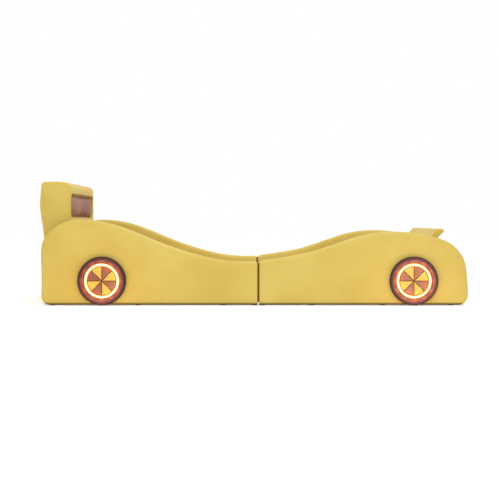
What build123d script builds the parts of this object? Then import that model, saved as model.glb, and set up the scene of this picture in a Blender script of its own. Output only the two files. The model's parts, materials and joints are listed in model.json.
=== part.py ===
from build123d import *
import os
from math import cos, hypot, radians, sin

# A child's upholstered racing-car bed, in millimetres.
# +X runs from the head end to the foot end, +Y to the sleeper's left, +Z up.
# The origin is on the floor, at the middle of the bed.

# Overall
HALF_LENGTH = 1156.0
PAD_BOTTOM = 6.0  # the upholstery hangs this far above the floor, on glides
HEADBOARD_TOP = 666.0

# Side rails: a padded board on each side, in a head half and a foot half
RAIL_OUTER = 588.0
RAIL_INNER = 506.0
RAIL_HEAD_END = -1135.0
JOINT_X = 30.0
JOINT_GAP = 2.0
CORE_INNER = 526.0
CORE_OUTER = 564.0
CORE_INSET = 26.0
CORE_JOINT_INSET = 5.0
BARE_HEIGHT = 92.0  # below this the inner side of the board is bare
JOINT_TOP_ROUNDING = 18.0
JOINT_FOOT_ROUNDING = 7.0
HEAD_CORNER = 38.0
FOOT_CORNER = 48.0
BOARD_CORNER = 26.0
JOINT_TOP = 236.0
HEAD_TOP_LINE = [
    (RAIL_HEAD_END, 190),
    (-1138, 262),
    (-1126, 346),
    (-1082, 405),
    (-1003, 450),
    (-900, 458),
    (-755, 434),
    (-541, 353),
    (-369, 290),
    (-198, 247),
    (JOINT_X - JOINT_GAP / 2, JOINT_TOP),
]
FOOT_TOP_LINE = [
    (JOINT_X + JOINT_GAP / 2, JOINT_TOP),
    (135, 251),
    (306, 283),
    (478, 339),
    (639, 384),
    (778, 393),
    (900, 382),
    (1000, 359),
    (1069, 327),
    (1112, 284),
    (1133, 249),
    (1147, 196),
    (HALF_LENGTH, 95),
]

# Slat platform
LEDGE_TOP = 85.0
LEDGE_HEIGHT = 35.0
LEDGE_SHELF = 45.0
SHEET_STEEL = 3.0
LEDGE_SPANS = [(-1000, 15), (45, 860)]
SLAT_COUNT = 13
SLAT_WIDTH = 70.0
SLAT_THICK = 15.0
SLAT_HALF_SPAN = 502.0
SLAT_FIRST_X = -955.0
SLAT_PITCH = 151.0
STRAP_Y = 300.0
STRAP_WIDTH = 30.0
STRAP_THICK = 2.0
SCREW_Z = 64.0
LEDGE_SCREW_X = [-950, -750, -550, -350, -150, 90, 270, 450, 630, 810]

# Joints between the rail halves
SPLICE_THICK = 4.0
SPLICE_SPAN = (-50, 110)
SPLICE_HEIGHTS = (15, 47)
SPLICE_BOLT_X = [-34, 6, 54, 94]
SPLICE_BOLT_Z = 31.0

# Centre beam, its legs and levelling feet
BEAM_WIDTH = 40.0
BEAM_DEPTH = 30.0
BEAM_WALL = 2.0
SLEEVE_GAP = 0.2
SLEEVE_SPAN = (-70, 130)
LEG_X = [-520.0, 30.0, 560.0]
LEG_RADIUS = 15.0
LEG_BOTTOM = 24.0
LEG_PLATE = 3.0
ROD_RADIUS = 5.0
NUT_BORE = 5.05
INSERT_BORE = 5.3
NUT_ACROSS_FLATS = 17.0
NUT_THICK = 6.0
NUT_GAP = 0.5
FOOT_RADIUS = 22.0
FOOT_THICK = 8.0
ROD_TOP = 46.0
GLIDE_RADIUS = 15.0
GLIDE_X = [-1080, -620, -160, 10, 50, 320, 700, 1070]

# Headboard: a thick upholstered slab with a windscreen-like pad let into its front
SLAB_HALF_WIDTH = 505.0
SLAB_FRONT = -995.0
SLAB_ROUNDING = 34.0
SLAB_BACK_LINE = [(-1128, 8), (-1133, 268), (-1141, 410), (-HALF_LENGTH, 543)]
SLAB_CROWN_LINE = [(-HALF_LENGTH, 543), (-1150, 625), (-1122, HEADBOARD_TOP)]
HEAD_CORE_X = (-1095, -1057)
HEAD_CORE_TOP = 630.0
HEAD_CORE_HALF_WIDTH = 478.0
CORE_FOOT_HALF_WIDTH = 522.0
CORE_BOTTOM = 12.0
CORE_FOOT_TOP = 90.0  # the end boards are wider below this, to reach the side boards
END_BOLT_DEPTH = 18.0
PLATFORM_CLEAR = 104.0  # the inner pads start here, just above the slats
SCREEN_HALF_WIDTH = 466.0
SCREEN_HEIGHTS = (470, 602)
SCREEN_CORNER = 24.0
SCREEN_DEPTH = 26.0
SCREEN_GAP = 3.0
SCREEN_BOARD = 6.0
SCREEN_PAD_FACE = -984.0

# Foot end: a board, a padded deck that curves down to the floor, and a lip spoiler
FOOT_PAD_FACE = 915.0
FOOT_BOARD_X = (930, 948)
FOOT_BOARD_TOP = 326.0
FOOT_BOARD_HALF_WIDTH = 500.0
DECK_HALF_WIDTH = 505.0
DECK_THICK = 28.0
DECK_OUTER_X = 1145.0
DECK_BOTTOM = 8.0
DECK_LINE = [
    (FOOT_PAD_FACE, 367),
    (966, 355),
    (1006, 344),
    (1058, 311),
    (1110, 255),
    (1132, 195),
    (DECK_OUTER_X, 95),
]
RIB_Y = [-330.0, 0.0, 330.0]
RIB_THICK = 18.0
SPOILER_HALF_WIDTH = 495.0
SPOILER_OUTLINE = [(936, 341), (985, 341), (1043, 401), (1034, 411), (1003, 411)]
SPOILER_BOARD = [(973, 371), (986, 371), (1015, 397), (1001, 397)]
SPOILER_BOARD_END = 30.0
STUD_X = 980.0
STUD_RADIUS = 4.0
STUD_HEIGHTS = (300, 381)

# Light-up wheel discs on the outer faces of the rails
WHEEL_X = [-809.0, 863.0]
WHEEL_NAMES = ["head", "foot"]
WHEEL_Z = 133.0
PLATE_RADIUS = 118.0
PLATE_THICK = 4.0
TYRE_INNER = 96.5
TYRE_OUTER = 130.0
TYRE_SHOULDER = 6.0
TYRE_CROWN = 28.0
RING_OUTER = 95.5
RING_INNER = 78.0
RING_DEPTH = 14.0
RING_WALL = 2.0
STRIP_RADII = (84, 90)
STRIP_THICK = 1.5
HUB_RADIUS = 75.0
HUB_DEPTH = 16.0
HUB_WEDGES = 8
HUB_SEAM = 3.0
WHEEL_SCREW_CIRCLE = 50.0
WHEEL_SCREW_END = 550.0

# Light controller, sunk in the back of the headboard
BOX_X = (-1127, -1095)
BOX_Y = (165, 255)
BOX_Z = (30, 90)
BOX_WALL = 2.0
POCKET_GAP = 3.0
POCKET_MOUTH_X = -1136.0  # clear of the slab's back
BUTTON_CENTRE = (235, 62)
BUTTON_RADIUS = 8.0
BUTTON_CLEARANCE = 0.05
BUTTON_PROUD = 3.0
BUTTON_DEPTH = 9.0
BUTTON_FLANGE = 9.5
BUTTON_STOP_GAP = 0.3
INLET_CENTRE = (188, 62)
INLET_RADIUS = 5.0
INLET_BORE = 2.8
INLET_PIN = 1.0
INLET_DEPTH = 12.0

# Wiring, Ø5, from the controller along both rails to the wheel discs
CABLE_RADIUS = 2.5
CABLE_HOLE = 3.5
CABLE_Z = 46.0
CABLE_Y = 512.0
CABLE_CROSS_X = -1030.0
CABLE_EXIT_Z = 60.0
CABLE_EXIT_Y = {"left": 225.0, "right": 195.0}
CABLE_END = RAIL_OUTER + PLATE_THICK
CABLE_SLANT = 45.0
CABLE_CORNER = 30.0
CABLE_BEND_RADII = [15, 15, 20, 20, 12]

# Fasteners
SCREW_RADIUS = 2.5
SCREW_LENGTH = 24.0
SCREW_HEAD_RADIUS = 5.0
SCREW_HEAD = 3.0
BOLT_RADIUS = 4.0
BOLT_HEAD_RADIUS = 6.5
BOLT_HEAD = 5.0
BOLT_LENGTH = 30.0
BRACKET_LENGTH = 50.0
BRACKET_HEIGHTS = (20, 80)
BRACKET_THICK = 4.0
BRACKET_BOLT_Z = 62.0
BRACKET_BOLT_IN = 32.0
HANGER_HALF_WIDTH = 40.0

os.makedirs("parts", exist_ok=True)


def keep(piece, name):
    """Label a finished piece and write it."""
    piece.part.label = name
    export_step(piece.part, f"parts/{name}.step")


def block(x, y, z, mode=Mode.ADD):
    """Add a box between two values on each axis to the part being built."""
    centre = (sum(x) / 2, sum(y) / 2, sum(z) / 2)
    with Locations(centre):
        Box(abs(x[1] - x[0]), abs(y[1] - y[0]), abs(z[1] - z[0]), mode=mode)


def rod_along_y(x, z, radius, y_from, y_to, mode=Mode.ADD):
    """Add a round rod parallel to Y to the part being built."""
    with Locations(Location((x, (y_from + y_to) / 2, z), (90, 0, 0))):
        Cylinder(radius, abs(y_to - y_from), mode=mode)


def rod_along_x(y, z, radius, x_from, x_to, mode=Mode.ADD):
    """Add a round rod parallel to X to the part being built."""
    with Locations(Location(((x_from + x_to) / 2, y, z), (0, 90, 0))):
        Cylinder(radius, abs(x_to - x_from), mode=mode)


def rod_along_z(x, y, radius, z_from, z_to, mode=Mode.ADD):
    """Add a round rod parallel to Z to the part being built."""
    with Locations((x, y, (z_from + z_to) / 2)):
        Cylinder(radius, abs(z_to - z_from), mode=mode)


def bore_along_x(y, z, radius, x_from, x_to):
    """Cut a round hole parallel to X from the part being built."""
    rod_along_x(y, z, radius, x_from, x_to, mode=Mode.SUBTRACT)


def bore_along_y(x, z, radius, y_from, y_to):
    """Cut a round hole parallel to Y from the part being built."""
    rod_along_y(x, z, radius, y_from, y_to, mode=Mode.SUBTRACT)


def save_with_mirror(right, name):
    """Write a right-hand piece and its left-hand mirror image."""
    keep(right, name + "_right")
    with BuildPart() as left:
        mirror(right.part, about=Plane.XZ)
    keep(left, name + "_left")


def save_both_sides(right, name):
    """Write a right-hand piece and its mirror image as one group."""
    with BuildPart() as group:
        add(right.part)
        mirror(right.part, about=Plane.XZ)
    keep(group, name)


# Side rails


def drawn_in(points, amount):
    """Points moved inwards, square to the line through their neighbours."""
    moved = []
    for i, (x, z) in enumerate(points):
        before = points[max(i - 1, 0)]
        after = points[min(i + 1, len(points) - 1)]
        run, rise = after[0] - before[0], after[1] - before[1]
        length = hypot(run, rise)
        moved.append((x + amount * rise / length, z - amount * run / length))
    return moved


def head_pad_lines():
    """Outline of a head half's pad, seen from the side."""
    joint_face = JOINT_X - JOINT_GAP / 2
    corner = (RAIL_HEAD_END + HEAD_CORNER, PAD_BOTTOM + HEAD_CORNER)
    Spline(*HEAD_TOP_LINE)
    Polyline((joint_face, JOINT_TOP), (joint_face, PAD_BOTTOM), (corner[0], PAD_BOTTOM))
    CenterArc(corner, HEAD_CORNER, 180, 90)
    Line((RAIL_HEAD_END, corner[1]), HEAD_TOP_LINE[0])


def head_board_lines():
    """Outline of a head half's board, seen from the side."""
    joint_face = JOINT_X - JOINT_GAP / 2 - CORE_JOINT_INSET
    top = drawn_in(HEAD_TOP_LINE, CORE_INSET)
    top[-1] = (joint_face, JOINT_TOP - CORE_INSET)
    Spline(*top)
    Polyline(
        top[-1],
        (joint_face, PAD_BOTTOM),
        (RAIL_HEAD_END + HEAD_CORNER, PAD_BOTTOM),
        (top[0][0], PAD_BOTTOM + BOARD_CORNER),
        top[0],
    )


def foot_pad_lines():
    """Outline of a foot half's pad, seen from the side."""
    joint_face = JOINT_X + JOINT_GAP / 2
    corner = (HALF_LENGTH - FOOT_CORNER, PAD_BOTTOM + FOOT_CORNER)
    Spline(*FOOT_TOP_LINE)
    Line(FOOT_TOP_LINE[-1], (HALF_LENGTH, corner[1]))
    CenterArc(corner, FOOT_CORNER, 270, 90)
    Polyline((corner[0], PAD_BOTTOM), (joint_face, PAD_BOTTOM), (joint_face, JOINT_TOP))


def foot_board_lines():
    """Outline of a foot half's board, seen from the side."""
    joint_face = JOINT_X + JOINT_GAP / 2 + CORE_JOINT_INSET
    top = drawn_in(FOOT_TOP_LINE, CORE_INSET)
    top[0] = (joint_face, JOINT_TOP - CORE_INSET)
    Spline(*top)
    Polyline(
        top[-1],
        (top[-1][0], PAD_BOTTOM + BOARD_CORNER),
        (HALF_LENGTH - FOOT_CORNER, PAD_BOTTOM),
        (joint_face, PAD_BOTTOM),
        top[0],
    )


def flat(x, z, mode=Mode.ADD):
    """Add a rectangle between two values on each axis to a side-view sketch."""
    with Locations((sum(x) / 2, sum(z) / 2)):
        Rectangle(abs(x[1] - x[0]), abs(z[1] - z[0]), mode=mode)


def drill_rail(board_holes):
    """Holes of a right-hand rail: cable and wheel screws, and the bare board's bolts."""
    for x in WHEEL_X:
        bore_along_y(x, CABLE_Z, CABLE_HOLE, -CORE_INNER, -RAIL_OUTER)
        for dx, dz in wheel_screw_offsets():
            bore_along_y(x + dx, WHEEL_Z + dz, SCREW_RADIUS, -WHEEL_SCREW_END, -RAIL_OUTER)
    if board_holes:
        for x in LEDGE_SCREW_X:
            bore_along_y(x, SCREW_Z, SCREW_RADIUS, -CORE_INNER, -CORE_INNER - SCREW_LENGTH)
        for x in SPLICE_BOLT_X:
            bore_along_y(x, SPLICE_BOLT_Z, BOLT_RADIUS, -CORE_INNER, -CORE_INNER - BOLT_LENGTH)
        for x in (HEAD_CORE_X[1] + BRACKET_BOLT_IN, FOOT_BOARD_X[0] - BRACKET_BOLT_IN):
            bore_along_y(x, BRACKET_BOLT_Z, BOLT_RADIUS, -CORE_INNER, -CORE_INNER - BOLT_LENGTH)


def wheel_screw_offsets():
    """Positions of the four screws round a wheel disc's centre."""
    step = WHEEL_SCREW_CIRCLE * sin(radians(45))
    return [(step, step), (-step, step), (-step, -step), (step, -step)]


def side_rail(name, board_lines, pad_lines, joint_side, end_x):
    """A rail half: the board inside and the pad wrapped round it."""
    joint_face = JOINT_X + joint_side * (JOINT_GAP / 2 + CORE_JOINT_INSET)
    with BuildPart() as board:
        with BuildSketch(Plane.XZ.offset(CORE_INNER)):
            with BuildLine():
                board_lines()
            make_face()
        extrude(amount=CORE_OUTER - CORE_INNER)
        drill_rail(board_holes=True)
    with BuildPart() as pad:
        with BuildSketch(Plane.XZ.offset(RAIL_INNER)) as side_view:
            with BuildLine():
                pad_lines()
            make_face()
            at_joint = -1 if joint_side < 0 else 0
            fillet(side_view.vertices().group_by(Axis.X)[at_joint].sort_by(Axis.Y)[-1], JOINT_TOP_ROUNDING)
            fillet(side_view.vertices().group_by(Axis.X)[at_joint].sort_by(Axis.Y)[0], JOINT_FOOT_ROUNDING)
        extrude(amount=RAIL_OUTER - RAIL_INNER)
        with BuildSketch(Plane.XZ.offset(CORE_INNER)):
            with BuildLine():
                board_lines()
            make_face()
        extrude(amount=CORE_OUTER - CORE_INNER, mode=Mode.SUBTRACT)
        block((JOINT_X, end_x), (-RAIL_INNER, -CORE_INNER), (0, BARE_HEIGHT), mode=Mode.SUBTRACT)
        block((JOINT_X, joint_face), (-RAIL_INNER, -CORE_OUTER), (0, BARE_HEIGHT), mode=Mode.SUBTRACT)
        drill_rail(board_holes=False)
    save_with_mirror(board, f"rail_board_{name}")
    save_with_mirror(pad, f"rail_pad_{name}")


side_rail("head", head_board_lines, head_pad_lines, -1, RAIL_HEAD_END)
side_rail("foot", foot_board_lines, foot_pad_lines, 1, HALF_LENGTH)

with BuildPart() as glides:
    for x in GLIDE_X:
        rod_along_z(x, -(CORE_INNER + CORE_OUTER) / 2, GLIDE_RADIUS, 0, PAD_BOTTOM)
save_both_sides(glides, "floor_glides")

# Hardware of the rails

with BuildPart() as ledge:
    for span in LEDGE_SPANS:
        block(span, (-CORE_INNER, -CORE_INNER + SHEET_STEEL), (LEDGE_TOP - LEDGE_HEIGHT, LEDGE_TOP))
        block(span, (-CORE_INNER, -CORE_INNER + LEDGE_SHELF), (LEDGE_TOP - SHEET_STEEL, LEDGE_TOP))
    for x in LEDGE_SCREW_X:
        bore_along_y(x, SCREW_Z, SCREW_RADIUS, -CORE_INNER, -CORE_INNER + SHEET_STEEL)
save_with_mirror(ledge, "slat_ledge")

with BuildPart() as splice_plate:
    block(SPLICE_SPAN, (-CORE_INNER, -CORE_INNER + SPLICE_THICK), SPLICE_HEIGHTS)
    for x in SPLICE_BOLT_X:
        bore_along_y(x, SPLICE_BOLT_Z, BOLT_RADIUS, -CORE_INNER, -CORE_INNER + SPLICE_THICK)
save_both_sides(splice_plate, "splice_plates")

BRACKET_ENDS = [(HEAD_CORE_X[1], 1), (FOOT_BOARD_X[0], -1)]  # board face, and which way is inwards
BRACKET_Y = CORE_INNER - BRACKET_BOLT_IN

with BuildPart() as brackets:
    for face, inwards in BRACKET_ENDS:
        far = face + inwards * BRACKET_LENGTH
        block((face, far), (-CORE_INNER, -CORE_INNER + BRACKET_THICK), BRACKET_HEIGHTS)
        leg = (face, face + inwards * BRACKET_THICK)
        block(leg, (-CORE_INNER, -CORE_INNER + BRACKET_LENGTH), BRACKET_HEIGHTS)
        hole_x = face + inwards * BRACKET_BOLT_IN
        bore_along_y(hole_x, BRACKET_BOLT_Z, BOLT_RADIUS, -CORE_INNER, -CORE_INNER + BRACKET_THICK)
        bore_along_x(-BRACKET_Y, BRACKET_BOLT_Z, BOLT_RADIUS, leg[0], leg[1])
save_both_sides(brackets, "corner_brackets")

with BuildPart() as bolts:
    for x in SPLICE_BOLT_X:
        seat = -CORE_INNER + SPLICE_THICK
        rod_along_y(x, SPLICE_BOLT_Z, BOLT_RADIUS, -CORE_INNER - BOLT_LENGTH, seat)
        rod_along_y(x, SPLICE_BOLT_Z, BOLT_HEAD_RADIUS, seat, seat + BOLT_HEAD)
    for face, inwards in BRACKET_ENDS:
        seat = -CORE_INNER + BRACKET_THICK
        hole_x = face + inwards * BRACKET_BOLT_IN
        rod_along_y(hole_x, BRACKET_BOLT_Z, BOLT_RADIUS, -CORE_INNER - BOLT_LENGTH, seat)
        rod_along_y(hole_x, BRACKET_BOLT_Z, BOLT_HEAD_RADIUS, seat, seat + BOLT_HEAD)
        seat = face + inwards * BRACKET_THICK
        depth = face - inwards * END_BOLT_DEPTH
        rod_along_x(-BRACKET_Y, BRACKET_BOLT_Z, BOLT_RADIUS, depth, seat)
        rod_along_x(-BRACKET_Y, BRACKET_BOLT_Z, BOLT_HEAD_RADIUS, seat, seat + inwards * BOLT_HEAD)
save_both_sides(bolts, "frame_bolts")

with BuildPart() as screws:
    for x in LEDGE_SCREW_X:
        seat = -CORE_INNER + SHEET_STEEL
        rod_along_y(x, SCREW_Z, SCREW_RADIUS, -CORE_INNER - SCREW_LENGTH, seat)
        rod_along_y(x, SCREW_Z, SCREW_HEAD_RADIUS, seat, seat + SCREW_HEAD)
    for wheel_x in WHEEL_X:
        for dx, dz in wheel_screw_offsets():
            front = -RAIL_OUTER - PLATE_THICK
            rod_along_y(wheel_x + dx, WHEEL_Z + dz, SCREW_RADIUS, -WHEEL_SCREW_END, front)
            rod_along_y(wheel_x + dx, WHEEL_Z + dz, SCREW_HEAD_RADIUS, front + SCREW_HEAD, front)
save_both_sides(screws, "wood_screws")

# Slat platform

with BuildPart() as slats:
    for i in range(SLAT_COUNT):
        x = SLAT_FIRST_X + i * SLAT_PITCH
        span = (x - SLAT_WIDTH / 2, x + SLAT_WIDTH / 2)
        block(span, (-SLAT_HALF_SPAN, SLAT_HALF_SPAN), (LEDGE_TOP, LEDGE_TOP + SLAT_THICK))
keep(slats, "slats")

with BuildPart() as straps:
    last_x = SLAT_FIRST_X + (SLAT_COUNT - 1) * SLAT_PITCH
    ends = (SLAT_FIRST_X - SLAT_WIDTH / 2, last_x + SLAT_WIDTH / 2)
    strap_y = (-STRAP_Y - STRAP_WIDTH / 2, -STRAP_Y + STRAP_WIDTH / 2)
    block(ends, strap_y, (LEDGE_TOP - STRAP_THICK, LEDGE_TOP))
save_both_sides(straps, "slat_straps")

# Centre beam, legs and levelling feet

BEAM_Z = (LEDGE_TOP - BEAM_DEPTH, LEDGE_TOP)
BEAM_SPANS = {
    "head": (HEAD_CORE_X[1] + BRACKET_THICK, JOINT_X - JOINT_GAP / 2),
    "foot": (JOINT_X + JOINT_GAP / 2, FOOT_BOARD_X[0] - BRACKET_THICK),
}


def inside(span, by):
    """A span drawn in by the same amount at both ends."""
    return (span[0] + by, span[1] - by)


beam_y = (-BEAM_WIDTH / 2, BEAM_WIDTH / 2)
for half, span in BEAM_SPANS.items():
    with BuildPart() as beam:
        block(span, beam_y, BEAM_Z)
        block(span, inside(beam_y, BEAM_WALL), inside(BEAM_Z, BEAM_WALL), mode=Mode.SUBTRACT)
    keep(beam, f"centre_beam_{half}")

with BuildPart() as sleeve:
    skin = BEAM_WALL + SLEEVE_GAP
    block(SLEEVE_SPAN, inside(beam_y, skin), inside(BEAM_Z, skin))
    bore = skin + BEAM_WALL
    block(SLEEVE_SPAN, inside(beam_y, bore), inside(BEAM_Z, bore), mode=Mode.SUBTRACT)
keep(sleeve, "beam_sleeve")

with BuildPart() as hangers:
    for face, inwards in BRACKET_ENDS:
        plate = (face, face + inwards * SHEET_STEEL)
        saddle = (face, face + inwards * BRACKET_LENGTH)
        outside = inside(beam_y, -SHEET_STEEL)
        block(plate, (-HANGER_HALF_WIDTH, HANGER_HALF_WIDTH), (BEAM_Z[0] - SHEET_STEEL, BEAM_Z[1]))
        block(saddle, outside, (BEAM_Z[0] - SHEET_STEEL, BEAM_Z[0]))
        block(saddle, (outside[0], beam_y[0]), BEAM_Z)
        block(saddle, (beam_y[1], outside[1]), BEAM_Z)
keep(hangers, "beam_hangers")

with BuildPart() as legs:
    for x in LEG_X:
        plate_z = (BEAM_Z[0] - LEG_PLATE, BEAM_Z[0])
        block((x - BEAM_WIDTH, x + BEAM_WIDTH), beam_y, plate_z)
        rod_along_z(x, 0, LEG_RADIUS, LEG_BOTTOM, plate_z[0])
        rod_along_z(x, 0, INSERT_BORE, LEG_BOTTOM, BEAM_Z[0], mode=Mode.SUBTRACT)
keep(legs, "support_legs")

for number, x in enumerate(LEG_X, start=1):
    with BuildPart() as nut:
        with BuildSketch(Plane.XY.offset(LEG_BOTTOM - NUT_GAP - NUT_THICK)):
            with Locations((x, 0)):
                RegularPolygon(NUT_ACROSS_FLATS / 2, 6, major_radius=False)
                Circle(NUT_BORE, mode=Mode.SUBTRACT)
        extrude(amount=NUT_THICK)
    keep(nut, f"leveller_nut_{number}")
    with BuildPart() as foot:
        rod_along_z(x, 0, FOOT_RADIUS, 0, FOOT_THICK)
        fillet(foot.edges().filter_by(GeomType.CIRCLE).sort_by(Axis.Z)[-1], FOOT_THICK / 2)
        rod_along_z(x, 0, ROD_RADIUS, FOOT_THICK / 2, ROD_TOP)
    keep(foot, f"leveller_foot_{number}")

# Headboard


def headboard_board():
    """The upright board: full width at its foot, narrower inside the upholstery."""
    with BuildPart() as board:
        wide = (-CORE_FOOT_HALF_WIDTH, CORE_FOOT_HALF_WIDTH)
        block(HEAD_CORE_X, wide, (CORE_BOTTOM, CORE_FOOT_TOP))
        narrow = (-HEAD_CORE_HALF_WIDTH, HEAD_CORE_HALF_WIDTH)
        block(HEAD_CORE_X, narrow, (CORE_BOTTOM, HEAD_CORE_TOP))
        for y in CABLE_EXIT_Y.values():
            bore_along_x(y, CABLE_EXIT_Z, CABLE_HOLE, *HEAD_CORE_X)
        drill_bracket_bolts(HEAD_CORE_X[1], 1)
    return board


def drill_bracket_bolts(face, inwards):
    """Holes for the corner bracket's bolts in an end board."""
    depth = face - inwards * END_BOLT_DEPTH
    for y in (-BRACKET_Y, BRACKET_Y):
        bore_along_x(y, BRACKET_BOLT_Z, BOLT_RADIUS, face, depth)


def slab_cover(board):
    """The thick upholstered slab, hollowed for the board, the screen pad and the controller."""
    with BuildPart() as cover:
        with BuildSketch(Plane.XZ.offset(-SLAB_HALF_WIDTH)):
            with BuildLine():
                Spline(*SLAB_BACK_LINE, tangents=[(0, 1), (0, 1)])
                Spline(*SLAB_CROWN_LINE, tangents=[(0, 1), (1, 0)])
                Polyline(
                    SLAB_CROWN_LINE[-1],
                    (SLAB_FRONT, HEADBOARD_TOP),
                    (SLAB_FRONT, PLATFORM_CLEAR),
                    (HEAD_CORE_X[0], PLATFORM_CLEAR),
                    (HEAD_CORE_X[0], SLAB_BACK_LINE[0][1]),
                    SLAB_BACK_LINE[0],
                )
            make_face()
        extrude(amount=2 * SLAB_HALF_WIDTH)
        front_face = cover.faces().filter_by(Axis.X).sort_by(Axis.X)[-1]
        fillet(front_face.edges(), SLAB_ROUNDING)
        add(board.part, mode=Mode.SUBTRACT)
        with BuildSketch(Plane.YZ.offset(SLAB_FRONT)):
            add(screen_shape())
        extrude(amount=-SCREEN_DEPTH, mode=Mode.SUBTRACT)
        pocket_x = (POCKET_MOUTH_X, BOX_X[1])
        block(pocket_x, inside(BOX_Y, -POCKET_GAP), inside(BOX_Z, -POCKET_GAP), mode=Mode.SUBTRACT)
    return cover


def screen_shape(shrink=0.0):
    """Outline of the screen pad's recess, seen from the front, as a sketch."""
    with BuildSketch() as screen:
        width = 2 * (SCREEN_HALF_WIDTH - shrink)
        height = SCREEN_HEIGHTS[1] - SCREEN_HEIGHTS[0] - 2 * shrink
        with Locations((0, sum(SCREEN_HEIGHTS) / 2)):
            RectangleRounded(width, height, SCREEN_CORNER - shrink)
    return screen.sketch


head_board = headboard_board()
keep(head_board, "headboard_board")
keep(slab_cover(head_board), "headboard_cover")

SCREEN_BACK = SLAB_FRONT - SCREEN_DEPTH

with BuildPart() as screen_board:
    with BuildSketch(Plane.YZ.offset(SCREEN_BACK)):
        add(screen_shape(shrink=SCREEN_GAP))
    extrude(amount=SCREEN_BOARD)
keep(screen_board, "screen_board")

with BuildPart() as screen_pad:
    with BuildSketch(Plane.YZ.offset(SCREEN_BACK + SCREEN_BOARD)):
        add(screen_shape(shrink=SCREEN_GAP))
    extrude(amount=SCREEN_PAD_FACE - SCREEN_BACK - SCREEN_BOARD)
keep(screen_pad, "screen_pad")

# Foot end


def deck_outline():
    """Everything under the deck's outer skin, seen from the side, as a sketch."""
    with BuildSketch() as deck_side:
        with BuildLine():
            Spline(*DECK_LINE)
            Polyline(
                DECK_LINE[-1],
                (DECK_OUTER_X, DECK_BOTTOM),
                (FOOT_PAD_FACE, DECK_BOTTOM),
                DECK_LINE[0],
            )
        make_face()
    return deck_side.sketch


def hollow_under_deck():
    """The space under the deck's padding, open to the floor and to the foot board."""
    top = drawn_in(DECK_LINE, DECK_THICK)
    top[0] = (FOOT_PAD_FACE, DECK_LINE[0][1] - DECK_THICK)
    with BuildSketch() as hollow:
        with BuildLine():
            Spline(*top)
            Polyline(
                top[-1],
                (top[-1][0], DECK_BOTTOM),
                (FOOT_PAD_FACE, DECK_BOTTOM),
                top[0],
            )
        make_face()
    return hollow.sketch


with BuildPart() as foot_board:
    wide = (-CORE_FOOT_HALF_WIDTH, CORE_FOOT_HALF_WIDTH)
    block(FOOT_BOARD_X, wide, (CORE_BOTTOM, CORE_FOOT_TOP))
    narrow = (-FOOT_BOARD_HALF_WIDTH, FOOT_BOARD_HALF_WIDTH)
    block(FOOT_BOARD_X, narrow, (CORE_BOTTOM, FOOT_BOARD_TOP))
    drill_bracket_bolts(FOOT_BOARD_X[0], -1)
keep(foot_board, "foot_board")

with BuildPart() as studs:
    for y in RIB_Y:
        rod_along_z(STUD_X, y, STUD_RADIUS, *STUD_HEIGHTS)
keep(studs, "spoiler_studs")

with BuildPart() as ribs:
    for y in RIB_Y:
        with BuildSketch(Plane.XZ.offset(-y - RIB_THICK / 2)):
            add(hollow_under_deck())
            flat((FOOT_PAD_FACE, FOOT_BOARD_X[1]), (0, HEADBOARD_TOP), mode=Mode.SUBTRACT)
        extrude(amount=RIB_THICK)
    add(studs.part, mode=Mode.SUBTRACT)
keep(ribs, "deck_ribs")

with BuildPart() as deck:
    with BuildSketch(Plane.XZ.offset(-DECK_HALF_WIDTH)):
        add(deck_outline())
    extrude(amount=2 * DECK_HALF_WIDTH)
    with BuildSketch(Plane.XZ.offset(-DECK_HALF_WIDTH)):
        add(hollow_under_deck())
    extrude(amount=2 * DECK_HALF_WIDTH, mode=Mode.SUBTRACT)
    add(studs.part, mode=Mode.SUBTRACT)
keep(deck, "deck_pad")

with BuildPart() as foot_pad:
    face = (FOOT_PAD_FACE, FOOT_BOARD_X[0])
    block(face, (-DECK_HALF_WIDTH, DECK_HALF_WIDTH), (PLATFORM_CLEAR, FOOT_BOARD_TOP))
keep(foot_pad, "foot_board_pad")

with BuildPart() as spoiler_board:
    half_width = SPOILER_HALF_WIDTH - SPOILER_BOARD_END
    with BuildSketch(Plane.XZ.offset(-half_width)):
        with BuildLine():
            Polyline(*SPOILER_BOARD, close=True)
        make_face()
    extrude(amount=2 * half_width)
    add(studs.part, mode=Mode.SUBTRACT)
keep(spoiler_board, "spoiler_board")

with BuildPart() as spoiler_pad:
    with BuildSketch(Plane.XZ.offset(-SPOILER_HALF_WIDTH)):
        with BuildLine():
            Polyline(*SPOILER_OUTLINE, close=True)
        make_face()
    extrude(amount=2 * SPOILER_HALF_WIDTH)
    with BuildSketch(Plane.XZ.offset(-SPOILER_HALF_WIDTH)):
        add(deck_outline())
    extrude(amount=2 * SPOILER_HALF_WIDTH, mode=Mode.SUBTRACT)
    add(spoiler_board.part, mode=Mode.SUBTRACT)
    add(studs.part, mode=Mode.SUBTRACT)
keep(spoiler_pad, "spoiler_pad")

# Wheel discs


def turned_rings(centres, section):
    """Turn a section, drawn as (radius, height above the rail's face), about each wheel's axis."""
    with BuildPart() as rings:
        for wheel_x in centres:
            centre = (wheel_x, -RAIL_OUTER, WHEEL_Z)
            with BuildSketch(Plane(centre, x_dir=(1, 0, 0), z_dir=(0, 0, -1))):
                add(section)
            revolve(axis=Axis(centre, (0, 1, 0)))
    return rings


def tyre_section():
    """A domed padded tyre, rebated at the back for the plate."""
    middle = (TYRE_INNER + TYRE_OUTER) / 2
    with BuildSketch() as section:
        with BuildLine():
            inner_edge = (TYRE_INNER, TYRE_SHOULDER)
            ThreePointArc((TYRE_OUTER, TYRE_SHOULDER), (middle, TYRE_CROWN), inner_edge)
            Polyline(
                inner_edge,
                (TYRE_INNER, PLATE_THICK),
                (PLATE_RADIUS, PLATE_THICK),
                (PLATE_RADIUS, 0),
                (TYRE_OUTER, 0),
                (TYRE_OUTER, TYRE_SHOULDER),
            )
        make_face()
    return section.sketch


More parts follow.
